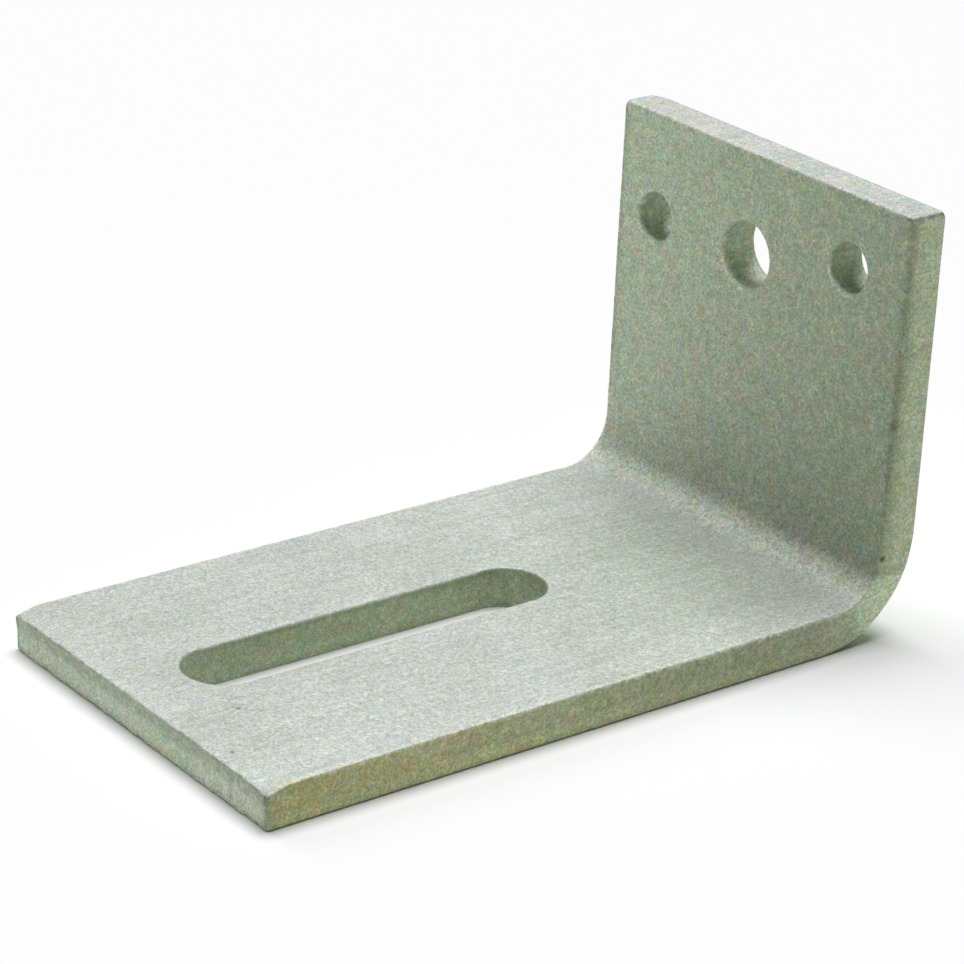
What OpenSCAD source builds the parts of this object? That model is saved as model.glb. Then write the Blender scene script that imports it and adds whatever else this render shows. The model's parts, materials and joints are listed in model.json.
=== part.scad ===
// Heavy angle anchor for fixing timber or steel to concrete. One thick flat bar is sheared
// to length, punched, bent square and hot-dip galvanised, so it is a single solid.
// Millimetres, +Z up. The base lies on Z = 0 with its free end towards -X, the upright
// stands at +X, and the origin is the middle of the footprint.

/* [Bar] */
// Width of the flat bar
bar_width = 80; // [70:1:110]
// Thickness of the flat bar
bar_thickness = 8; // [6:0.5:10]
// Radius rolled on the long edges of the bar
rolled_edge_radius = 0.6; // [0.3:0.1:1.6]

/* [Legs and bend] */
// Outside length of the base, from its free end to the back of the upright
base_length = 142.5; // [130:0.5:200]
// Outside height of the upright
upright_height = 82; // [70:1:130]
// Radius inside the bend
inner_bend_radius = 9.5; // [6:0.5:14]
// How much the outside of the bend opens past a concentric bend, as the bar thins there
bend_opening = 3; // [0:0.25:5]

/* [Sheared ends] */
// How far the shear dragged the top face down at the free end
shear_drag = 0.6; // [0.3:0.1:2]
// How far from the free end that drag starts
shear_drag_run = 7; // [4:0.5:12]
// How far the top edge of the free end overhangs its foot
shear_lean = 0.5; // [0.2:0.1:1.5]
// Height of the upright band at the foot of the free end, below the leaning one
shear_break_height = 4; // [2:0.5:5]
// Radius left on the foot of the free end
foot_edge_radius = 0.3; // [0.2:0.1:1]
// Radius worn on the front and back edges of the upright's top
top_edge_radius = 0.8; // [0.3:0.1:1.6]
// Radius on the corners of the free end
end_corner_radius = 0.5; // [0.4:0.1:2]
// Radius on the left top corner of the upright, seen from the free end
left_top_corner_radius = 1.2; // [0.4:0.1:5]
// Radius on the right top corner of the upright
right_top_corner_radius = 1.4; // [0.4:0.1:5]

/* [Slot in the base] */
// Width of the slot and diameter of its round ends
slot_width = 14.8; // [9:0.1:18]
// Length of the slot, end to end
slot_length = 76.7; // [50:0.1:90]
// From the free end of the base to the slot
slot_end_gap = 12; // [8:0.5:18]
// How far the slot is punched off the middle of the bar
slot_offset = 1.9; // [-6:0.1:6]
// How far the punch dragged one long rim of the slot down
slot_lip_drop = 0.5; // [0.2:0.1:1]
// How far from that rim the drag starts
slot_lip_run = 1.5; // [1.5:0.1:4]

/* [Holes in the upright] */
// Diameter of the bolt hole
bolt_hole_diameter = 12.7; // [9:0.1:18]
// How far the bolt hole is punched off the middle of the bar
bolt_hole_offset = 2.9; // [-6:0.1:6]
// From the top of the upright down to the middle of the bolt hole
bolt_hole_drop = 20; // [16:0.5:30]
// Diameter of the two screw holes
screw_hole_diameter = 9.4; // [6:0.1:12]
// From the side of the bar to the middle of the lower screw hole
low_screw_side_gap = 11; // [9:0.5:16]
// From the top of the upright down to the lower screw hole
low_screw_drop = 20.5; // [14:0.5:30]
// From the other side of the bar to the middle of the higher screw hole
high_screw_side_gap = 15.5; // [9:0.5:18]
// From the top of the upright down to the higher screw hole
high_screw_drop = 14; // [10:0.5:30]

/* [Punched rims] */
// Radius that the punch rolled into the rim where it entered
rim_roll_radius = 0.5; // [0.2:0.1:1]
// Radius left on the rim where it came out
rim_exit_radius = 0.2; // [0.1:0.1:0.6]

/* [Hidden] */
$fn = 96;

// How far a cutter reaches past the surface that it cuts
cut_margin = 1;
zinc_grey = "#c7cdc3";

outer_bend_radius = inner_bend_radius + bar_thickness + bend_opening;
half_width = bar_width / 2;
upright_front = base_length - bar_thickness;
base_straight = base_length - outer_bend_radius;

// Waste outside a rounded edge, seen along that edge. The corner is at the origin and
// the bar fills the positive quadrant.
module edge_waste(radius) {
    difference() {
        translate([-cut_margin, -cut_margin])
            square(radius + cut_margin);
        translate([radius, radius])
            circle(radius);
    }
}

// Waste above a face that a cutting edge dragged down: an arc that leaves the face level and
// has fallen by drop at the cut. The cut is at the origin, and the face lies towards +X.
module drag_waste(run, drop) {
    radius = (pow(run, 2) + pow(drop, 2)) / (2 * drop);
    difference() {
        translate([-cut_margin, -drop - cut_margin])
            square([run + cut_margin, drop + 2 * cut_margin]);
        translate([run, -radius])
            circle(radius);
    }
}

// A section drawn in Y and Z, run along X
module along_x(length) {
    rotate([90, 0, 90])
        linear_extrude(length)
            children();
}

// A section drawn as radius and distance towards -Y, swept round a quarter of the bend
module round_bend(radius) {
    translate([base_length - radius, 0, radius])
        rotate([90, 0, 0])
            rotate([0, 0, -90])
                rotate_extrude(angle = 90)
                    children();
}

// The bent bar seen from the side, with the base along X and the upright along Y
module bent_profile() {
    difference() {
        union() {
            square([base_length, bar_thickness]);
            translate([upright_front, 0])
                square([bar_thickness, upright_height]);
            // Inside of the bend
            difference() {
                translate([upright_front - inner_bend_radius, bar_thickness / 2])
                    square(inner_bend_radius + bar_thickness / 2);
                translate([upright_front - inner_bend_radius, bar_thickness + inner_bend_radius])
                    circle(inner_bend_radius);
            }
        }
        // Outside of the bend
        translate([base_length, 0])
            mirror([1, 0])
                edge_waste(outer_bend_radius);
        // Free end: the top face dragged down by the shear, the overhanging cut and its foot
        translate([0, bar_thickness])
            drag_waste(shear_drag_run, shear_drag);
        polygon([
            [0, bar_thickness - shear_drag],
            [shear_lean, shear_break_height],
            [shear_lean, -cut_margin],
            [-cut_margin, -cut_margin],
            [-cut_margin, bar_thickness - shear_drag],
        ]);
        translate([shear_lean, 0])
            edge_waste(foot_edge_radius);
        // Top of the upright: its front and back edges
        translate([upright_front, upright_height])
            mirror([0, 1])
                edge_waste(top_edge_radius);
        translate([base_length, upright_height])
            rotate(180)
                edge_waste(top_edge_radius);
    }
}

// Waste outside the long edges of one side, underneath and up the back
module back_edge_waste() {
    translate([-cut_margin, -half_width, 0])
        along_x(base_straight + cut_margin)
            edge_waste(rolled_edge_radius);
    round_bend(outer_bend_radius)
        translate([outer_bend_radius, half_width])
            rotate(180)
                edge_waste(rolled_edge_radius);
    translate([base_length, -half_width, outer_bend_radius])
        linear_extrude(upright_height - outer_bend_radius + cut_margin)
            mirror([1, 0])
                edge_waste(rolled_edge_radius);
}

// Waste outside the long edges of one side, along the top of the base and up the front
module front_edge_waste() {
    translate([-cut_margin, -half_width, bar_thickness])
        along_x(upright_front - inner_bend_radius + cut_margin)
            mirror([0, 1])
                edge_waste(rolled_edge_radius);
    translate([-bar_thickness, 0, bar_thickness])
        round_bend(inner_bend_radius)
            translate([inner_bend_radius, half_width])
                mirror([0, 1])
                    edge_waste(rolled_edge_radius);
    translate([upright_front, -half_width, bar_thickness + inner_bend_radius])
        linear_extrude(upright_height - bar_thickness - inner_bend_radius + cut_margin)
            edge_waste(rolled_edge_radius);
}

// Waste outside the corners of one side, at the free end and at the top of the upright
module end_corner_waste(top_radius) {
    translate([0, -half_width, -cut_margin])
        linear_extrude(bar_thickness + 2 * cut_margin)
            edge_waste(end_corner_radius);
    translate([upright_front - cut_margin, -half_width, upright_height])
        along_x(bar_thickness + 2 * cut_margin)
            mirror([0, 1])
                edge_waste(top_radius);
}

// Half the section of a punched opening, from its middle line. The punch enters from above.
module punched_section(half_opening) {
    translate([0, -cut_margin])
        square([half_opening, bar_thickness + 2 * cut_margin]);
    translate([half_opening, bar_thickness])
        mirror([0, 1])
            edge_waste(rim_roll_radius);
    translate([half_opening, 0])
        edge_waste(rim_exit_radius);
}

module punched_hole(diameter) {
    rotate_extrude()
        punched_section(diameter / 2);
}

// The slot starts at the origin and runs along +X. Its rim on the +Y side is dragged down
// between the two round ends.
module punched_slot() {
    first_middle = slot_width / 2;
    last_middle = slot_length - slot_width / 2;
    for (middle = [first_middle, last_middle])
        translate([middle, 0, 0])
            punched_hole(slot_width);
    translate([first_middle, 0, 0])
        along_x(last_middle - first_middle) {
            for (side = [0, 1])
                mirror([side, 0])
                    punched_section(slot_width / 2);
            translate([slot_width / 2, bar_thickness])
                drag_waste(slot_lip_run, slot_lip_drop);
        }
}

// A hole in the upright, punched from its front face
module upright_hole(diameter, across, drop) {
    translate([base_length, across, upright_height - drop])
        rotate([0, -90, 0])
            punched_hole(diameter);
}

// The whole anchor
module angle_plate() {
    color(zinc_grey)
        translate([-base_length / 2, 0, 0])
            difference() {
                rotate([90, 0, 0])
                    linear_extrude(bar_width, center = true)
                        bent_profile();
                for (side = [0, 1])
                    mirror([0, side, 0]) {
                        back_edge_waste();
                        front_edge_waste();
                        end_corner_waste(side == 0 ? right_top_corner_radius : left_top_corner_radius);
                    }
                translate([slot_end_gap, slot_offset, 0])
                    punched_slot();
                upright_hole(bolt_hole_diameter, bolt_hole_offset, bolt_hole_drop);
                upright_hole(screw_hole_diameter, half_width - low_screw_side_gap, low_screw_drop);
                upright_hole(screw_hole_diameter, high_screw_side_gap - half_width, high_screw_drop);
            }
}

angle_plate();
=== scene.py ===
import json
import math

import bmesh
import bpy
from mathutils import Euler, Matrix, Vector
from mathutils.geometry import delaunay_2d_cdt
from mathutils.kdtree import KDTree


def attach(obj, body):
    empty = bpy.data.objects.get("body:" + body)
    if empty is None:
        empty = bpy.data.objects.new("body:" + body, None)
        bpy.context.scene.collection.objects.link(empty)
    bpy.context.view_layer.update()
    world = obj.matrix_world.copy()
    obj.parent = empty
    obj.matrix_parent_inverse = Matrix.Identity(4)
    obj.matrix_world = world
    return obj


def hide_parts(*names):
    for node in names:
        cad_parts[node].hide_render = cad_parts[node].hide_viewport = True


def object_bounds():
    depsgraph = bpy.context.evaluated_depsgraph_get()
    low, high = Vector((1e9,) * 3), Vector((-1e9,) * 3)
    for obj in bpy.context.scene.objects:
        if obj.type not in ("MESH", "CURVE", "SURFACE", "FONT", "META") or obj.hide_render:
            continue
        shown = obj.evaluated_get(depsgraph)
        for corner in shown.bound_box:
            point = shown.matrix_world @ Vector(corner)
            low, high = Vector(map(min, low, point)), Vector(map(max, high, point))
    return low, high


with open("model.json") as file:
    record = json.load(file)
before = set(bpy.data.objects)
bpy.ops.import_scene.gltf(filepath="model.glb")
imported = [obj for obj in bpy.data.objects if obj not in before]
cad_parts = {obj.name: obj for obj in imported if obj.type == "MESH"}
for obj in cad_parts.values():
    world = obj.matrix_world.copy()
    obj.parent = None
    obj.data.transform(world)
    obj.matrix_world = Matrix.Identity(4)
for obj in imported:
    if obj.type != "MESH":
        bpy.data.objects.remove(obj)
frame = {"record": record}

mm = 0.001  # the scene is in metres, the sizes below in millimetres
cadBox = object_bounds()
lowCorner, highCorner = cadBox
baseLength, barWidth, uprightHeight = (highCorner - lowCorner) / mm
mounts = {mount["name"]: mount for mount in frame["record"]["mounts"]}
print("frame loaded, box in mm:", [round(v, 2) for v in (baseLength, barWidth, uprightHeight)])


def linearColour(hexCode):
    # sRGB hex to the linear values that sockets take
    parts = [int(hexCode[i:i + 2], 16) / 255 for i in (1, 3, 5)]
    return [p / 12.92 if p <= 0.04045 else ((p + 0.055) / 1.055) ** 2.4 for p in parts] + [1.0]


def addNode(tree, kind, settings=None, links=None):
    # settings go to the node's own properties or else to its input sockets
    node = tree.nodes.new(kind)
    for key, value in (settings or {}).items():
        if isinstance(key, str) and hasattr(node, key):
            setattr(node, key, value)
        else:
            node.inputs[key].default_value = value
    for key, source in (links or {}).items():
        tree.links.new(source, node.inputs[key])
    return node


# camera: the photograph's own viewpoint
view = {
    "azimuth": -38.24,    # degrees, 0 looks along +Y
    "elevation": 23.29,
    "roll": 2.77,         # the picture's right side tips up by this much
    "distance": 632.7,    # mm from the aim point
    "aim": (-1.08, -3.41, 32.88),
    "lens": 133.5,        # mm
    "sensor": 36.0,
    "clip": (0.01, 50.0),  # m
}


def makeCamera():
    data = bpy.data.cameras.new("productCamera")
    data.sensor_fit = "HORIZONTAL"
    data.sensor_width = view["sensor"]
    data.lens = view["lens"]
    data.clip_start, data.clip_end = view["clip"]
    camera = bpy.data.objects.new("productCamera", data)
    tilt = math.radians(90 - view["elevation"])
    turn = Euler((tilt, 0, math.radians(view["azimuth"])), "XYZ").to_quaternion()
    roll = Euler((0, 0, math.radians(view["roll"])), "XYZ").to_quaternion()
    camera.rotation_mode = "QUATERNION"
    camera.rotation_quaternion = turn @ roll
    backwards = camera.rotation_quaternion @ Vector((0, 0, 1))
    camera.location = (Vector(view["aim"]) + backwards * view["distance"]) * mm
    bpy.context.scene.collection.objects.link(camera)
    bpy.context.scene.camera = camera


makeCamera()
print("camera placed")


# hot-dip galvanised steel, left dull: a thick grey zinc coat with a fine sandy grain, cloudy
# patches, faint tints and streaks and a few dark specks, matt enough to show hardly any reflection
zinc = {
    "pale": "#d2d8d0",
    "cloudy": "#c6ccc2",
    "cloudSize": 16.0,              # mm
    "cloudEdge": (0.35, 0.65),      # of the noise, where a cloud starts and where it is full
    "streakSize": (24.0, 1.4),      # mm along the bar and across it
    "streakContrast": 0.15,
    "grainSizes": (0.45, 1.1),      # mm, drawn coarser than the real grain so that it shows
    "grainContrast": (0.66, 0.28),
    "grainSpan": (0.2, 0.8),        # of the noise, where the grain is darkest and palest
    "grainGain": (1.0, 1.2),        # on the base's top and off it
    "tintSize": 2.6,                # mm
    "tintContrast": (0.24, 0.56),   # on the base's top and off it
    "tintShares": (1.0, 0.4, 1.0),  # of red, green and blue, so more ochre and blue than green
    "topFade": (0.8, 2.0),          # mm off the base's top between which grain and tints grow
    "wanderSize": 1.5,              # mm, unevenness along the edges of the marks below
    "wanderReach": 1.8,             # mm
    "wanderSpan": (0.3, 0.55),      # of the noise, where a mark is thin and where it is full
    "thinShare": 0.6,               # what is left of a mark where it is thin
    "speck": "#3d4338",
    "speckFade": (1.3, 0.4),        # radii out from a speck's middle where it starts and is full
    "specks": (                     # place and radius in mm, then strength
        (-58.8, -13.3, 8.0, 0.5, 0.6), (-68.2, -25.7, 7.8, 0.5, 0.6),
        (-23.7, -40.0, 6.6, 0.7, 0.35), (-23.8, -40.0, 5.4, 0.6, 0.3),
        (-39.5, -40.0, 2.6, 0.7, 0.25), (63.3, -39.8, 42.7, 1.3, 0.4),
        (63.6, -40.0, 16.5, 0.6, 0.9)),
    "roughness": (0.42, 0.58),
    "metallic": 0.1,
    "bumpHeight": 0.05,             # mm
}
freeEnd = lowCorner.x / mm
halfWidth = barWidth / 2
uprightFront = mounts["upright_front"]["pos_m"][0] / mm
uprightBack = mounts["upright_back"]["pos_m"][0] / mm
baseTop = mounts["base_top"]["pos_m"][2] / mm
slotX, slotY = (value / mm for value in mounts["base_slot"]["pos_m"][:2])
slotRadius = mounts["base_slot"]["dims"]["hole_r_mm"]
slotReach = mounts["base_slot"]["dims"]["slot_length_mm"] / 2

# marks on the coat, and painted light and shade: colour, strength and limits. A limit is a
# direction, the place in mm where the mark starts and the place where it is full. side is the
# distance from the bar's middle line, and a hole's name the distance out from its wall. Marks
# wander, except along trueX, trueY and trueZ.
# First come the limits that several marks share
onUpright = [("x", uprightFront - 3.0, uprightFront - 1.0), ("z", baseTop + 1.0, baseTop + 5.0)]
onTop = [("z", baseTop - 0.8, baseTop - 0.4)]
onSides = [("side", halfWidth - 0.8, halfWidth - 0.3)]
onCut = [("x", freeEnd + 1.3, freeEnd + 0.7)]
marks = {
    # painted shade: the upright tinted darker and greener than the base, standing for its green
    # shade
    "greenedUpright": ("#c8cfbd", 1.0, onUpright),
    "paleUpright": ("#dce3d2", 0.9, onUpright + [
        ("x", uprightFront + 1.5, uprightFront + 0.5), ("y", 4.0, halfWidth)]),
    "dulledUpright": ("#aeb4a4", 0.9, onUpright + [
        ("x", uprightFront + 4.0, uprightFront + 1.0), ("y", 4.0, -halfWidth)]),
    # painted shade: a darker patch on the base's top in front of the bend, where the bend shades it
    "dulledBase": ("#aebaa8", 0.5, onTop + [
        ("x", 5.0, 38.0), ("x", 56.0, 46.0), ("y", 22.0, 0.0), ("y", -39.0, -28.0)]),
    "scuffedBase": ("#dfe5dc", 0.4, onTop + [("x", -5.0, -45.0), ("y", -22.0, -36.0)]),
    "yellowedSides": ("#c2b57f", 1.0, onSides + [("x", uprightFront + 40.0, freeEnd)]),
    "dirtySides": ("#7d8468", 0.5, onSides + [
        ("x", -40.0, 30.0), ("x", 62.0, 45.0), ("z", baseTop + 1.0, baseTop - 1.0)]),
    # painted light: the foot of the long sides paler, for the light the paper throws on it
    "paleFoot": ("#e6e2c0", 0.5, onSides + [("x", 62.0, 45.0), ("z", 3.6, 1.2)]),
    # painted light: the free end's cut face paler, for the light the paper throws on it
    "paleCut": ("#e6e6e0", 0.9, onCut + [("trueZ", baseTop - 0.9, baseTop - 1.6)]),
    # painted light: the foot of the cut face paler still, for the light from the paper close by
    "paleCutFoot": ("#f4f5ee", 0.3, onCut + [("z", 3.0, 1.6)]),
    # the burnished band across the cut face, made dark by a painted reflection of the dim room in
    # front
    "burnishedCut": ("#868e7d", 0.6, [
        ("x", freeEnd + 1.0, freeEnd + 0.5), ("z", 3.4, 5.2), ("z", baseTop - 0.6, baseTop - 1.2)]),
    "dulledCorner": ("#9ca292", 0.4, [
        ("x", freeEnd + 4.0, freeEnd + 1.0), ("y", 4.5 - halfWidth, 1.5 - halfWidth)]),
    "dirtyCorners": ("#62685b", 0.6, [
        ("x", freeEnd + 1.4, freeEnd + 0.6), ("side", halfWidth - 1.4, halfWidth - 0.5)]),
    # painted reflection: a dark line down the upright's front edges, for the dim room they reflect
    "dirtyEdge": ("#6d7365", 0.4, [
        ("x", uprightFront - 0.6, uprightFront), ("x", uprightFront + 2.0, uprightFront + 0.6),
        ("side", halfWidth - 2.2, halfWidth - 0.6), ("z", 20.0, 32.0)]),
    "wornEdge": ("#e2e8df", 0.7, [
        ("side", halfWidth - 1.2, halfWidth - 0.5), ("z", baseTop - 0.7, baseTop - 0.3),
        ("z", baseTop + 0.8, baseTop + 0.3)]),
    "paleTop": ("#d8ddd5", 0.9, [("z", uprightHeight - 0.7, uprightHeight - 0.3)]),
    # a gash at the upright's top near corner, its crease painted dark as shade
    "gashedCorner": ("#5d6356", 0.7, [
        ("trueY", 2.0 - halfWidth, 1.2 - halfWidth),
        ("trueZ", uprightHeight - 0.9, uprightHeight - 0.6),
        ("trueZ", uprightHeight - 0.15, uprightHeight - 0.4)]),
    # painted highlight: a pale band along the bend's inner curve
    "pooledBend": ("#e8f1dd", 0.9, [
        ("x", uprightFront - 6.0, uprightFront - 3.6), ("z", baseTop + 5.4, baseTop + 3.2)]),
    # painted shade: the slot's walls darker, for the shade inside the slot
    "dirtySlot": ("#adb49e", 0.95, [
        ("x", slotX - slotReach - 2.05, slotX - slotReach - 1.45),
        ("x", slotX + slotReach + 2.05, slotX + slotReach + 1.45),
        ("y", slotY - slotRadius - 1.6, slotY - slotRadius - 1.2),
        ("y", slotY + slotRadius + 1.6, slotY + slotRadius + 1.2),
        ("trueZ", baseTop - 0.4, baseTop - 0.8), ("trueZ", 0.1, 0.4)]),
}
# the punched holes: painted shade on the upper wall, painted light on the bottom of the wall and a
# painted highlight in an arc on the lower rim
holes = {"bolt_hole": 0.85, "low_screw_hole": 0.85, "high_screw_hole": 0.5}  # strength of the painted light on the bottom of the wall
for hole, litBottomStrength in holes.items():
    across, rise = (value / mm for value in mounts[hole]["pos_m"][1:])
    reach = mounts[hole]["dims"]["r_mm"]
    inside = [(hole, 0.6, 0.3), ("x", uprightFront + 0.5, uprightFront + 1.2),
              ("trueX", uprightBack - 0.25, uprightBack - 0.6)]
    # painted shade on the upper part of the hole's wall
    marks[hole + "Wall"] = ("#909b85", 0.8, inside + [
        ("z", rise - reach * 0.5, rise + reach * 0.3)])
    # painted light on the bottom of the hole's wall, where light comes in through the hole
    marks[hole + "Run"] = ("#ebf3de", litBottomStrength, inside + [
        ("z", rise, rise - reach * 0.6), ("x", uprightFront + 0.6, uprightFront + 2.0)])
    # painted highlight: a bright arc on the lower rim of the hole
    marks[hole + "Rim"] = ("#f4f7f0", 0.9, [
        (hole, 1.0, 0.6), (hole, -0.2, 0.1), ("x", uprightFront + 1.0, uprightFront + 0.5),
        ("z", rise, rise - reach * 0.5), ("y", across - reach * 0.4, across + reach * 0.2)])


def markPlaces(tree, spot, wander):
    # the socket to read for each direction of a limit
    aside = addNode(tree, "ShaderNodeVectorMath", {"operation": "SUBTRACT", 1: [0.5] * 3},
                    {0: wander.outputs["Color"]})
    moved = addNode(tree, "ShaderNodeVectorMath",
                    {"operation": "MULTIPLY_ADD", 1: [zinc["wanderReach"] * mm] * 3},
                    {0: aside.outputs["Vector"], 2: spot})
    along = addNode(tree, "ShaderNodeSeparateXYZ", None, {0: moved.outputs["Vector"]}).outputs
    side = addNode(tree, "ShaderNodeMath", {"operation": "ABSOLUTE"}, {0: along["Y"]})
    exact = addNode(tree, "ShaderNodeSeparateXYZ", None, {0: spot}).outputs
    places = {"x": along["X"], "y": along["Y"], "z": along["Z"], "side": side.outputs[0],
              "trueX": exact["X"], "trueY": exact["Y"], "trueZ": exact["Z"]}
    for hole in holes:
        offset = addNode(tree, "ShaderNodeVectorMath",
                         {"operation": "SUBTRACT", 1: mounts[hole]["pos_m"]},
                         {0: moved.outputs["Vector"]})
        offset = addNode(tree, "ShaderNodeVectorMath", {"operation": "MULTIPLY", 1: (0, 1, 1)},
                         {0: offset.outputs["Vector"]})
        length = addNode(tree, "ShaderNodeVectorMath", {"operation": "LENGTH"},
                         {0: offset.outputs["Vector"]})
        outside = addNode(tree, "ShaderNodeMath",
                          {"operation": "SUBTRACT", 1: mounts[hole]["dims"]["r_mm"] * mm},
                          {0: length.outputs["Value"]})
        places[hole] = outside.outputs[0]
    return places


def paintMarks(tree, colour, wander, places):
    thin, whole = zinc["wanderSpan"]
    for markColour, strength, limits in marks.values():
        mask = addNode(tree, "ShaderNodeMapRange",
                       {"From Min": thin, "From Max": whole,
                        "To Min": strength * zinc["thinShare"], "To Max": strength},
                       {"Value": wander.outputs["Fac"]}).outputs["Result"]
        for place, start, full in limits:
            limit = addNode(tree, "ShaderNodeMapRange",
                            {"From Min": start * mm, "From Max": full * mm},
                            {"Value": places[place]})
            mask = addNode(tree, "ShaderNodeMath", {"operation": "MULTIPLY"},
                           {0: mask, 1: limit.outputs["Result"]}).outputs[0]
        colour = addNode(tree, "ShaderNodeMix",
                         {"data_type": "RGBA", 7: linearColour(markColour)},
                         {0: mask, 6: colour}).outputs[2]
    return colour


def paintGrain(tree, colour, spot, offTop):
    # streaks from rolling, then two sizes of grey grain, the coarser of which is also the relief
    longWay, acrossWay = zinc["streakSize"]
    stretch = addNode(tree, "ShaderNodeMapping",
                      {"Scale": [1 / (size * mm) for size in (longWay, acrossWay, acrossWay)]},
                      {"Vector": spot})
    layers = [(stretch.outputs["Vector"], 1.0, zinc["streakContrast"])]
    for size, contrast in zip(zinc["grainSizes"], zinc["grainContrast"]):
        layers.append((spot, 1 / (size * mm), contrast))
    gain = addNode(tree, "ShaderNodeMapRange",
                   {"To Min": zinc["grainGain"][0], "To Max": zinc["grainGain"][1]},
                   {"Value": offTop})
    darkest, palest = zinc["grainSpan"]
    for vector, scale, contrast in layers:
        grain = addNode(tree, "ShaderNodeTexNoise",
                        {"Scale": scale, "Detail": 1.0, "Roughness": 0.6}, {"Vector": vector})
        tone = addNode(tree, "ShaderNodeMapRange",
                       {"From Min": darkest, "From Max": palest,
                        "To Min": -contrast / 2, "To Max": contrast / 2},
                       {"Value": grain.outputs["Fac"]})
        tone = addNode(tree, "ShaderNodeMath", {"operation": "MULTIPLY_ADD", 2: 1.0},
                       {0: tone.outputs["Result"], 1: gain.outputs["Result"]})
        colour = addNode(tree, "ShaderNodeVectorMath", {"operation": "SCALE"},
                         {0: colour, "Scale": tone.outputs[0]}).outputs["Vector"]
    return colour, grain.outputs["Fac"]


def paintTints(tree, colour, spot, offTop):
    tinting = addNode(tree, "ShaderNodeTexNoise",
                      {"Scale": 1 / (zinc["tintSize"] * mm), "Detail": 1.0}, {"Vector": spot})
    contrast = addNode(tree, "ShaderNodeMapRange",
                       {"To Min": zinc["tintContrast"][0], "To Max": zinc["tintContrast"][1]},
                       {"Value": offTop})
    shares = zinc["tintShares"]
    tint = addNode(tree, "ShaderNodeVectorMath",
                   {"operation": "MULTIPLY_ADD", 1: shares, 2: [-share / 2 for share in shares]},
                   {0: tinting.outputs["Color"]})
    tint = addNode(tree, "ShaderNodeVectorMath", {"operation": "SCALE"},
                   {0: tint.outputs["Vector"], "Scale": contrast.outputs["Result"]})
    tint = addNode(tree, "ShaderNodeVectorMath", {"operation": "MULTIPLY_ADD"},
                   {0: tint.outputs["Vector"], 1: colour, 2: colour})
    return tint.outputs["Vector"]


def paintSpecks(tree, colour, spot):
    start, full = zinc["speckFade"]
    for *place, radius, strength in zinc["specks"]:
        away = addNode(tree, "ShaderNodeVectorMath",
                       {"operation": "DISTANCE", 1: [value * mm for value in place]}, {0: spot})
        mask = addNode(tree, "ShaderNodeMapRange",
                       {"From Min": radius * start * mm, "From Max": radius * full * mm,
                        "To Max": strength},
                       {"Value": away.outputs["Value"]})
        colour = addNode(tree, "ShaderNodeMix",
                         {"data_type": "RGBA", 7: linearColour(zinc["speck"])},
                         {0: mask.outputs["Result"], 6: colour}).outputs[2]
    return colour


def galvanisedSteel():
    material = bpy.data.materials.new("galvanisedSteel")
    material.use_nodes = True
    tree = material.node_tree
    shader = tree.nodes["Principled BSDF"]
    shader.inputs["Metallic"].default_value = zinc["metallic"]
    spot = addNode(tree, "ShaderNodeTexCoord").outputs["Object"]

    cloud = addNode(tree, "ShaderNodeTexNoise",
                    {"Scale": 1 / (zinc["cloudSize"] * mm), "Detail": 3.0, "Roughness": 0.6},
                    {"Vector": spot})
    cloudEdge = addNode(tree, "ShaderNodeMapRange",
                        {"From Min": zinc["cloudEdge"][0], "From Max": zinc["cloudEdge"][1]},
                        {"Value": cloud.outputs["Fac"]})
    patch = addNode(tree, "ShaderNodeMix",
                    {"data_type": "RGBA", 6: linearColour(zinc["pale"]),
                     7: linearColour(zinc["cloudy"])},
                    {0: cloudEdge.outputs["Result"]})
    wander = addNode(tree, "ShaderNodeTexNoise",
                     {"Scale": 1 / (zinc["wanderSize"] * mm), "Detail": 1.0}, {"Vector": spot})
    places = markPlaces(tree, spot, wander)
    colour = paintMarks(tree, patch.outputs[2], wander, places)

    # 0 on the base's top, 1 well off it
    offTop = addNode(tree, "ShaderNodeMath", {"operation": "SUBTRACT", 1: baseTop * mm},
                     {0: places["z"]})
    offTop = addNode(tree, "ShaderNodeMath", {"operation": "ABSOLUTE"}, {0: offTop.outputs[0]})
    offTop = addNode(tree, "ShaderNodeMapRange",
                     {"From Min": zinc["topFade"][0] * mm, "From Max": zinc["topFade"][1] * mm},
                     {"Value": offTop.outputs[0]}).outputs["Result"]
    colour, grain = paintGrain(tree, colour, spot, offTop)
    colour = paintTints(tree, colour, spot, offTop)
    colour = paintSpecks(tree, colour, spot)
    tree.links.new(colour, shader.inputs["Base Color"])

    dull = addNode(tree, "ShaderNodeMapRange",
                   {"To Min": zinc["roughness"][0], "To Max": zinc["roughness"][1]},
                   {"Value": cloud.outputs["Fac"]})
    tree.links.new(dull.outputs["Result"], shader.inputs["Roughness"])
    relief = addNode(tree, "ShaderNodeBump", {"Distance": zinc["bumpHeight"] * mm, "Strength": 1.0},
                     {"Height": grain})
    tree.links.new(relief.outputs["Normal"], shader.inputs["Normal"])
    return material


coatedSteel = galvanisedSteel()
print("zinc coat mixed:", len(marks), "marks and", len(zinc["specks"]), "specks")


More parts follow.
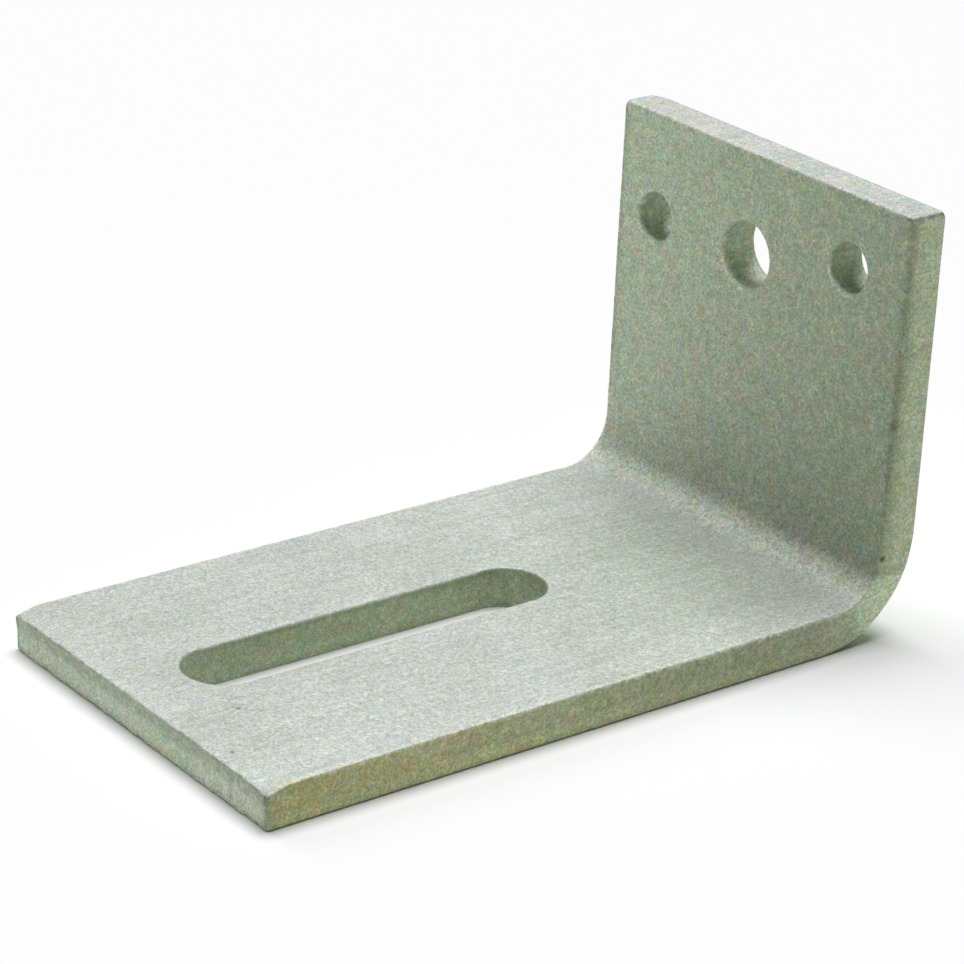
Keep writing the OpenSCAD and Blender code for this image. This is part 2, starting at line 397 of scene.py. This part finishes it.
# the blank: the bar as it was sheared and punched, still flat, with its inside face up. u runs
# along it from the free end, v across it from the middle, z up from the outside face, all in mm
blank = {
    "innerBend": 9.5,
    "bendOpening": 3.0,       # the outside of the bend opens this much past a concentric one
    "rolledEdge": 0.6,        # radii
    "footEdge": 0.3,
    "topEdge": 0.8,
    "freeCorner": 0.65,
    "topCorners": (1.4, 0.9),  # at the right and at the left, seen from the free end
    "slotRoll": 0.5,
    "holeRoll": 0.6,
    "rimExit": 0.2,
    "dragRun": 7.0,           # the face is dragged down towards the free end
    "dragDrop": 0.6,
    "endRun": 0.9,            # and rounded off at the edge itself
    "endDrop": 0.1,
    # corners that were knocked in: end (0 free, 1 top), side, face (1 inside, 0 outside),
    # run and depth
    "knocks": ((0, -1, 1, 9.0, 1.05), (0, 1, 1, 6.0, 0.9), (0, 1, 0, 1.8, 0.8),
               (1, 1, 0, 4.5, 2.0), (1, 1, 1, 2.0, 0.6)),
    "lean": 0.5,              # the free end overhangs its foot
    "footHeight": 4.0,
    "leanReach": 8.0,
    "lipRun": 1.5,            # one rim of the slot is dragged down too
    "lipDrop": 0.5,
    "lipFade": 1.0,
    "faceStep": 0.9,          # distance between points
    "edgeStep": 0.45,
    "cornerSteps": 6,         # at least so many round a corner or a hole
    "roundRows": 4,           # of faces round an edge, and down the wall between two edges
    "wallRows": 9,
    "honeycombGap": 0.55,     # how far the points on a face keep off its rings, in face steps
    "rimSlack": 0.01,         # a point this far inside the slot still counts as on its rim
    "samePoint": 1e-6,        # points nearer than this are one when a face is filled
    "weld": 0.002,            # and nearer than this where faces and edges are joined
}
thickness = uprightBack - uprightFront
baseRun = baseLength - thickness - blank["innerBend"]
bendRun = blank["innerBend"] * math.pi / 2
uprightRun = uprightHeight - thickness - blank["innerBend"]
flatLength = baseRun + bendRun + uprightRun


def outlineArcs():
    # middle, radius, first angle and turn of each corner, anticlockwise
    free = blank["freeCorner"]
    right, left = blank["topCorners"]
    return [(Vector((free, free - halfWidth)), free, 180, 90),
            (Vector((flatLength - right, right - halfWidth)), right, 270, 90),
            (Vector((flatLength - left, halfWidth - left)), left, 0, 90),
            (Vector((free, halfWidth - free)), free, 90, 90)]


def slotMiddles():
    # middles of the slot's two round ends
    middle = Vector((slotX - freeEnd, slotY))
    reach = Vector((slotReach - slotRadius, 0))
    return middle - reach, middle + reach


def slotArcs():
    freeMiddle, bendMiddle = slotMiddles()
    return [(bendMiddle, slotRadius, -90, 180), (freeMiddle, slotRadius, 90, 180)]


def holeArcs(name):
    hole = mounts[name]
    rise = hole["pos_m"][2] / mm - thickness - blank["innerBend"]
    middle = Vector((baseRun + bendRun + rise, hole["pos_m"][1] / mm))
    return [(middle, hole["dims"]["r_mm"], 0, 360)]


def walkLoop(arcs, side):
    # points and outward directions along the arcs and the straight runs between them; side is 1
    # where the bar lies inside the loop and -1 where it lies outside
    stations = []
    for index, (middle, radius, first, turn) in enumerate(arcs):
        steps = math.ceil(math.radians(turn) * radius / blank["edgeStep"])
        steps = max(steps, blank["cornerSteps"])
        for step in range(steps if turn == 360 else steps + 1):
            angle = math.radians(first + turn * step / steps)
            away = Vector((math.cos(angle), math.sin(angle)))
            stations.append((middle + away * radius, away * side))
        if turn == 360:
            continue
        nextMiddle, nextRadius, nextFirst = arcs[(index + 1) % len(arcs)][:3]
        angle = math.radians(nextFirst)
        start = stations[-1][0]
        run = nextMiddle + Vector((math.cos(angle), math.sin(angle))) * nextRadius - start
        away = Vector((run.y, -run.x)).normalized()
        steps = math.ceil(run.length / blank["edgeStep"])
        stations += [(start + run * step / steps, away * side) for step in range(1, steps)]
    return stations


def edgeSection(front, back):
    # inset and height of the points round an edge, from the inside face to the outside face
    rows = blank["roundRows"]
    quarter = [math.pi / 2 * row / rows for row in range(rows + 1)]
    section = [(front * (1 - math.sin(a)), thickness - front * (1 - math.cos(a))) for a in quarter]
    wall = thickness - front - back
    wallRows = blank["wallRows"]
    section += [(0.0, thickness - front - wall * row / wallRows) for row in range(1, wallRows)]
    return section + [(back * (1 - math.cos(a)), back * (1 - math.sin(a))) for a in quarter]


def arcDrop(distance, run, drop):
    # fall of an arc that leaves the face level at run and has fallen by drop at 0
    if distance >= run:
        return 0.0
    radius = (run ** 2 + drop ** 2) / (2 * drop)
    return radius - math.sqrt(radius ** 2 - (run - max(distance, 0.0)) ** 2)


def settle(point, z):
    # what the shear and the punch did to a point, then its place in the frame
    u, v = point
    drop = arcDrop(u, blank["dragRun"], blank["dragDrop"])
    drop += arcDrop(u, blank["endRun"], blank["endDrop"])
    freeMiddle, bendMiddle = slotMiddles()
    offRim = v - freeMiddle.y - slotRadius
    if offRim > -blank["rimSlack"]:
        fade = min(u - freeMiddle.x, bendMiddle.x - u) / blank["lipFade"]
        fade = min(max(fade, 0.0), 1.0)
        drop = max(drop, arcDrop(offRim, blank["lipRun"], blank["lipDrop"]) * fade)
    z *= 1 - drop / thickness
    for end, side, face, run, depth in blank["knocks"]:
        knock = arcDrop(math.hypot(u - flatLength * end, v - halfWidth * side), run, depth)
        z += knock * (1 - face - z / thickness)
    topEdge = thickness - blank["dragDrop"]
    foot = min(max((topEdge - z) / (topEdge - blank["footHeight"]), 0.0), 1.0)
    u += blank["lean"] * foot * max(0.0, 1 - u / blank["leanReach"])
    return Vector((lowCorner.x + u * mm, v * mm, z * mm))


def fillFace(shape, rings, z):
    # triangles between the rings, over a honeycomb of points
    corners = [point for ring in rings for point, away in ring]
    aways = [away for ring in rings for point, away in ring]
    lookup = KDTree(len(corners))
    for index, corner in enumerate(corners):
        lookup.insert((corner.x, corner.y, 0), index)
    lookup.balance()

    def inside(point, margin):
        index = lookup.find((point.x, point.y, 0))[1]
        return (corners[index] - point).dot(aways[index]) > margin

    sides = []
    for ring in rings:
        first = len(sides)
        sides += [(first + i, first + (i + 1) % len(ring)) for i in range(len(ring))]
    points = list(corners)
    step = blank["faceStep"]
    rise = step * math.sqrt(3) / 2
    for row in range(int(barWidth / rise) + 1):
        for place in range(int(flatLength / step) + 1):
            point = Vector(((place + row % 2 / 2) * step, row * rise - halfWidth))
            if inside(point, step * blank["honeycombGap"]):
                points.append(point)
    spread, _, triangles = delaunay_2d_cdt(points, sides, [], 0, blank["samePoint"])[:3]
    verts = [shape.verts.new(settle(point, z)) for point in spread]
    for triangle in triangles:
        middle = sum((spread[i] for i in triangle), Vector((0, 0))) / 3
        if inside(middle, 0.0):
            shape.faces.new([verts[i] for i in triangle])


def makeBlank():
    shape = bmesh.new()
    frontRings, backRings = [], []
    loops = [(outlineArcs(), 1, 0.0), (slotArcs(), -1, blank["slotRoll"])]
    loops += [(holeArcs(name), -1, blank["holeRoll"]) for name in holes]
    for arcs, side, roll in loops:
        columns, frontRing, backRing = [], [], []
        for point, away in walkLoop(arcs, side):
            if side > 0:
                cutEdge = blank["topEdge"] if away.x > 0 else blank["footEdge"]
                front = back = blank["rolledEdge"] + (cutEdge - blank["rolledEdge"]) * abs(away.x)
            else:
                front, back = roll, blank["rimExit"]
            frontRing.append((point - away * front, away))
            backRing.append((point - away * back, away))
            columns.append([shape.verts.new(settle(point - away * inset, z))
                            for inset, z in edgeSection(front, back)])
        for one, two in zip(columns, columns[1:] + columns[:1]):
            for row in range(len(one) - 1):
                shape.faces.new((one[row], two[row], two[row + 1], one[row + 1]))
        frontRings.append(frontRing)
        backRings.append(backRing)
    fillFace(shape, frontRings, thickness)
    fillFace(shape, backRings, 0.0)
    bmesh.ops.remove_doubles(shape, verts=shape.verts, dist=blank["weld"] * mm)
    bmesh.ops.recalc_face_normals(shape, faces=shape.faces)
    mesh = bpy.data.meshes.new("anchorBar")
    shape.to_mesh(mesh)
    shape.free()
    return mesh


# forming: the blank's edges are ragged, it is bent square, and the zinc runs over it. Each value
# goes to the tree's input of that name; the sizes are in mm
forming = {
    "raggedHeight": 0.5,   # bites along the edges of the free end
    "raggedSize": 1.8,
    "raggedReach": 1.5,    # how far from the edge the bites reach
    "innerShare": 0.2,     # how deep they are on the inside face's other edges, as a share
    "biteStart": 0.4,      # of the noise, where a bite starts
    "biteGain": 4.0,       # how steeply it deepens from there
    "waveHeight": 0.08,    # slow swells in the coat
    "waveSize": 14.0,
    "lumpHeight": 0.06,    # small lumps
    "lumpSize": 2.4,
    "seed": 7.0,
}

# each line is one sum: its name, the operation and what goes in, which is a number, an earlier
# sum or one of the tree's inputs. x, y and z are the flat point. First come the ragged edges
raggedSums = (
    # 1 at an end of the bar, falling to 0
    ("offFree", "SUBTRACT", "x", "Free End"),
    ("freeShare", "DIVIDE", "offFree", "Ragged Reach"),
    ("freeLeft", "SUBTRACT", 1.0, "freeShare"),
    ("freeHold", "MAXIMUM", "freeLeft", 0.0),
    ("offTop", "SUBTRACT", "Top End", "x"),
    ("topShare", "DIVIDE", "offTop", "Ragged Reach"),
    ("topLeft", "SUBTRACT", 1.0, "topShare"),
    ("topHold", "MAXIMUM", "topLeft", 0.0),
    # the same at a long side
    ("wide", "ABSOLUTE", "y", 0.0),
    ("offSide", "SUBTRACT", "Half Width", "wide"),
    ("sideShare", "DIVIDE", "offSide", "Ragged Reach"),
    ("sideLeft", "SUBTRACT", 1.0, "sideShare"),
    ("sideHold", "MAXIMUM", "sideLeft", 0.0),
    ("sideSign", "SIGN", "y", 0.0),
    ("sidePull", "MULTIPLY", "sideHold", "sideSign"),
    # 1 at either face, falling steeply to 0 in the middle of the thickness
    ("rise", "DIVIDE", "z", "Bar Thickness"),
    ("offMiddleRise", "SUBTRACT", "rise", 0.5),
    ("riseSquared", "MULTIPLY", "offMiddleRise", "offMiddleRise"),
    ("faceHold", "MULTIPLY", "riseSquared", 4.0),
    ("edgeHold", "MULTIPLY", "faceHold", "faceHold"),
    # the inner share at the inside face, falling to 0 at the outside
    ("innerSquared", "MULTIPLY", "rise", "rise"),
    ("innerFourth", "MULTIPLY", "innerSquared", "innerSquared"),
    ("innerHold", "MULTIPLY", "innerFourth", "Inner Share"),
    # bites where the noise is high
    ("noiseOver", "SUBTRACT", "raggedNoise", "Bite Start"),
    ("noiseGain", "MULTIPLY", "noiseOver", "Bite Gain"),
    ("noiseFloor", "MAXIMUM", "noiseGain", 0.0),
    ("noiseShare", "MINIMUM", "noiseFloor", 1.0),
    ("bite", "MULTIPLY", "noiseShare", "Ragged Height"),
    ("edgeBite", "MULTIPLY", "bite", "edgeHold"),
    ("innerBite", "MULTIPLY", "bite", "innerHold"),
    ("freeShift", "MULTIPLY", "edgeBite", "freeHold"),
    ("topShift", "MULTIPLY", "innerBite", "topHold"),
    ("endShift", "SUBTRACT", "freeShift", "topShift"),
    ("cutX", "ADD", "x", "endShift"),
    ("sideShift", "MULTIPLY", "innerBite", "sidePull"),
    ("cutY", "SUBTRACT", "y", "sideShift"),
)
# the flat point's place once the bar is bent
bendSums = (
    ("past", "SUBTRACT", "cutX", "Bend Start"),
    ("before", "MINIMUM", "past", 0.0),
    ("arc", "MULTIPLY", "Bend Radius", math.pi / 2),
    ("beyond", "SUBTRACT", "past", "arc"),
    ("after", "MAXIMUM", "beyond", 0.0),
    ("entered", "MAXIMUM", "past", 0.0),
    ("bent", "MINIMUM", "entered", "arc"),
    ("angle", "DIVIDE", "bent", "Bend Radius"),
    # the bar thins towards the middle of the bend, from its outside
    ("halfArc", "MULTIPLY", "arc", 0.5),
    ("offMiddle", "SUBTRACT", "past", "halfArc"),
    ("thinReach", "ADD", "halfArc", "Bend Opening"),
    ("share", "DIVIDE", "offMiddle", "thinReach"),
    ("shareSquared", "MULTIPLY", "share", "share"),
    ("left", "SUBTRACT", 1.0, "shareSquared"),
    ("swell", "MAXIMUM", "left", 0.0),
    ("swellSquared", "MULTIPLY", "swell", "swell"),
    ("mostThinned", "MULTIPLY", "Bend Opening", math.sqrt(2) - 1),
    ("thinned", "MULTIPLY", "mostThinned", "swellSquared"),
    ("outsideShare", "SUBTRACT", 1.0, "rise"),
    ("thinnedHere", "MULTIPLY", "thinned", "outsideShare"),
    ("height", "ADD", "z", "thinnedHere"),
    ("outerRing", "ADD", "Bend Radius", "Bar Thickness"),
    ("radius", "SUBTRACT", "outerRing", "height"),
    ("sine", "SINE", "angle", 0.0),
    ("cosine", "COSINE", "angle", 0.0),
    ("turnX", "MULTIPLY", "radius", "sine"),
    ("runX", "MULTIPLY", "after", "cosine"),
    ("startX", "ADD", "Bend Start", "before"),
    ("turnedX", "ADD", "startX", "turnX"),
    ("bentX", "ADD", "turnedX", "runX"),
    ("turnZ", "MULTIPLY", "radius", "cosine"),
    ("runZ", "MULTIPLY", "after", "sine"),
    ("turnedZ", "SUBTRACT", "outerRing", "turnZ"),
    ("bentZ", "ADD", "turnedZ", "runZ"),
)
# how far the coat sinks in, from its slow swells and its small lumps
coatSums = (
    ("wave", "MULTIPLY", "waveNoise", "Wave Height"),
    ("lump", "MULTIPLY", "lumpNoise", "Lump Height"),
    ("relief", "ADD", "wave", "lump"),
    ("inwards", "MULTIPLY", "relief", -1.0),
)
# the tree's inputs: those in mm, then plain numbers
sizeInputs = ("Free End", "Top End", "Half Width", "Bar Thickness", "Bend Start", "Bend Radius",
              "Bend Opening", "Ragged Height", "Ragged Size", "Ragged Reach", "Wave Height",
              "Wave Size", "Lump Height", "Lump Size")
shareInputs = ("Inner Share", "Bite Start", "Bite Gain", "Seed")


def formingTree(material):
    tree = bpy.data.node_groups.new("formedBar", "GeometryNodeTree")
    tree.interface.new_socket(name="Geometry", in_out="INPUT", socket_type="NodeSocketGeometry")
    for name in sizeInputs + shareInputs:
        tree.interface.new_socket(name=name, in_out="INPUT", socket_type="NodeSocketFloat")
    tree.interface.new_socket(name="Geometry", in_out="OUTPUT", socket_type="NodeSocketGeometry")
    given = addNode(tree, "NodeGroupInput").outputs
    values = {name: given[name] for name in sizeInputs + shareInputs}
    place = addNode(tree, "GeometryNodeInputPosition").outputs["Position"]
    flat = addNode(tree, "ShaderNodeSeparateXYZ", None, {0: place}).outputs
    values.update(x=flat["X"], y=flat["Y"], z=flat["Z"])
    noises = {"raggedNoise": "Ragged Size", "waveNoise": "Wave Size", "lumpNoise": "Lump Size"}
    for name, size in noises.items():
        pitch = addNode(tree, "ShaderNodeMath", {"operation": "DIVIDE", 0: 1.0}, {1: given[size]})
        noise = addNode(tree, "ShaderNodeTexNoise", {"noise_dimensions": "4D", "Detail": 1.0},
                        {"Vector": place, "W": given["Seed"], "Scale": pitch.outputs[0]})
        values[name] = noise.outputs["Fac"]
    for name, operation, *parts in raggedSums + bendSums + coatSums:
        sums = addNode(tree, "ShaderNodeMath", {"operation": operation})
        for index, part in enumerate(parts):
            if isinstance(part, str):
                tree.links.new(values[part], sums.inputs[index])
            else:
                sums.inputs[index].default_value = part
        values[name] = sums.outputs[0]

    formed = addNode(tree, "ShaderNodeCombineXYZ", None,
                     {"X": values["bentX"], "Y": values["cutY"], "Z": values["bentZ"]})
    bar = addNode(tree, "GeometryNodeSetPosition", None,
                  {"Geometry": given["Geometry"], "Position": formed.outputs[0]})
    # the coat's swells and lumps press inwards only, so that the bar keeps its outside size
    normal = addNode(tree, "GeometryNodeInputNormal").outputs["Normal"]
    coat = addNode(tree, "ShaderNodeVectorMath", {"operation": "SCALE"},
                   {0: normal, "Scale": values["inwards"]})
    coated = addNode(tree, "GeometryNodeSetPosition", None,
                     {"Geometry": bar.outputs[0], "Offset": coat.outputs["Vector"]})
    smooth = addNode(tree, "GeometryNodeSetShadeSmooth", None, {"Geometry": coated.outputs[0]})
    whole = addNode(tree, "GeometryNodeRealizeInstances", None, {"Geometry": smooth.outputs[0]})
    finish = addNode(tree, "GeometryNodeSetMaterial", {"Material": material},
                     {"Geometry": whole.outputs[0]})
    addNode(tree, "NodeGroupOutput", None, {0: finish.outputs[0]})
    return tree


def makeBar(material):
    bar = bpy.data.objects.new("anchorBar", makeBlank())
    bpy.context.scene.collection.objects.link(bar)
    steps = bar.modifiers.new("forming", "NODES")
    steps.node_group = formingTree(material)
    sizes = dict(forming, freeEnd=freeEnd, topEnd=freeEnd + flatLength, halfWidth=halfWidth,
                 barThickness=thickness, bendStart=freeEnd + baseRun,
                 bendRadius=blank["innerBend"], bendOpening=blank["bendOpening"])
    for item in steps.node_group.interface.items_tree:
        key = item.name[0].lower() + item.name[1:].replace(" ", "")
        if key in sizes:
            steps[item.identifier] = sizes[key] * (mm if item.name in sizeInputs else 1.0)
    made = bar.evaluated_get(bpy.context.evaluated_depsgraph_get())
    plain = bpy.data.meshes.new_from_object(made)
    bar.modifiers.clear()
    bar.data = plain
    return bar


anchor = makeBar(coatedSteel)
print("bar formed:", sum(len(face.vertices) - 2 for face in anchor.data.polygons), "triangles")
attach(anchor, "root")
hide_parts("angle_plate")


# stage: white paper under a wide soft light from above and behind, with a dim room in front, so
# that the paper lights the upright faces
stage = {
    "floorSize": 6.0,         # m
    "floor": "#fdfdfd",
    "floorRoughness": 0.9,
    "floorBounce": "#e8f9db",  # the paper's tint where it lights the bar
    "sky": "#f4ffe8",
    "skyStrength": 0.06,
    "lampColour": "#fdfcff",
    # name, azimuth, elevation and width in degrees, strength
    "lamps": (("softBox", 132.0, 79.0, 40.0, 2.78),
              ("window", 186.0, 36.0, 36.0, 0.55)),
}


def makeStage():
    mesh = bpy.data.meshes.new("floor")
    half = stage["floorSize"] / 2
    corners = [(-half, -half, 0), (half, -half, 0), (half, half, 0), (-half, half, 0)]
    mesh.from_pydata(corners, [], [(0, 1, 2, 3)])
    floor = bpy.data.objects.new("floor", mesh)
    bpy.context.scene.collection.objects.link(floor)
    paper = bpy.data.materials.new("matPaper")
    paper.use_nodes = True
    tree = paper.node_tree
    shader = tree.nodes["Principled BSDF"]
    shader.inputs["Roughness"].default_value = stage["floorRoughness"]
    path = addNode(tree, "ShaderNodeLightPath")
    seen = path.outputs["Is Camera Ray"]
    for ray in ("Is Glossy Ray", "Is Transmission Ray"):
        seen = addNode(tree, "ShaderNodeMath", {"operation": "MAXIMUM"},
                       {0: seen, 1: path.outputs[ray]}).outputs[0]
    shown = addNode(tree, "ShaderNodeMix",
                    {"data_type": "RGBA", 6: linearColour(stage["floorBounce"]),
                     7: linearColour(stage["floor"])},
                    {0: seen})
    tree.links.new(shown.outputs[2], shader.inputs["Base Color"])
    mesh.materials.append(paper)

    for name, azimuth, elevation, width, strength in stage["lamps"]:
        lamp = bpy.data.lights.new(name, "SUN")
        lamp.energy = strength
        lamp.color = linearColour(stage["lampColour"])[:3]
        lamp.angle = math.radians(width)
        soft = bpy.data.objects.new(name, lamp)
        soft.rotation_euler = (math.radians(90 - elevation), 0, math.radians(azimuth))
        bpy.context.scene.collection.objects.link(soft)

    world = bpy.data.worlds.new("studio")
    world.use_nodes = True
    light = world.node_tree.nodes["Background"]
    light.inputs["Color"].default_value = linearColour(stage["sky"])
    light.inputs["Strength"].default_value = stage["skyStrength"]
    bpy.context.scene.world = world


makeStage()
bpy.context.scene.view_settings.view_transform = "Standard"
print("stage lit")
